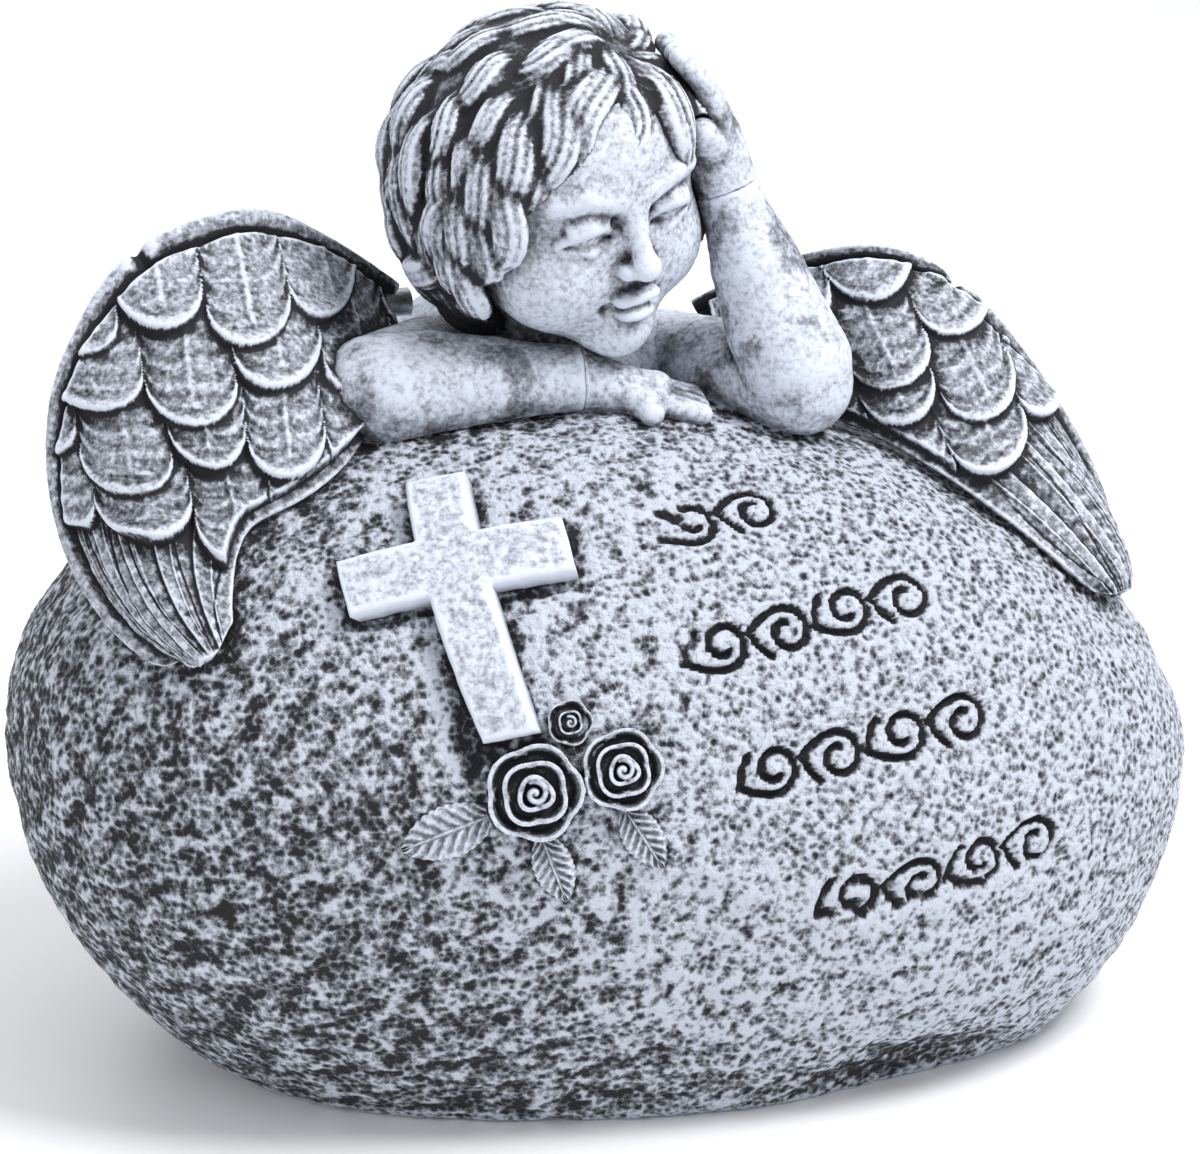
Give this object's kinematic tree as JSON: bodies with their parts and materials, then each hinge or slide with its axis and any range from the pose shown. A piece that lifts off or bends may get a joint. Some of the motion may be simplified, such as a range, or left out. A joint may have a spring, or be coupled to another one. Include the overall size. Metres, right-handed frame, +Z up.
{
  "type": "garden memorial figurine",
  "caption": "Resin figurine of a small winged cherub leaning on a boulder-shaped memorial stone with a raised cross and roses; it stands free on a flat underside.",
  "frame": {"origin": "under the middle of the figurine, on the surface that its flat underside rests on", "axes": "+X to the right seen from the front, along the boulder's length; -Y is the front, with the cross; +Z is up"},
  "size_m": [0.1697, 0.1065, 0.1532],
  "materials": {
    "stone_resin": "cast resin, hammered and pitted, dark grey patina in the pits under a bluish white dry-brushed coat",
    "skin_resin": "cast resin, smooth, bluish white with faint dark speckle",
    "hair_resin": "cast resin, deep dark patina with white dry-brushed ridges",
    "wing_resin": "cast resin, grey patina in the feather grooves with white edges",
    "cross_resin": "cast resin, smooth, bluish white with a dark outline",
    "flower_resin": "cast resin, dark patina between white petal edges",
    "pin_steel": "plain steel pin",
    "plug_rubber": "matt black rubber"
  },
  "bodies": {
    "root": {"stone_shell": "stone_resin", "base_plug": "plug_rubber", "torso": "skin_resin", "neck_pin": "pin_steel", "head": "skin_resin", "hair_cap": "hair_resin", "right_arm": "skin_resin", "right_hand": "skin_resin", "left_arm": "skin_resin", "left_hand": "skin_resin", "right_wing": "wing_resin", "right_wing_coverts": "wing_resin", "right_wing_pin": "pin_steel", "left_wing": "wing_resin", "left_wing_coverts": "wing_resin", "left_wing_pin": "pin_steel", "cross": "cross_resin", "cross_pins": "pin_steel", "rose_large": "flower_resin", "rose_small": "flower_resin", "rosebud": "flower_resin", "leaf_left": "flower_resin", "leaf_lower": "flower_resin", "leaf_right": "flower_resin"}
  },
  "joints": []
}
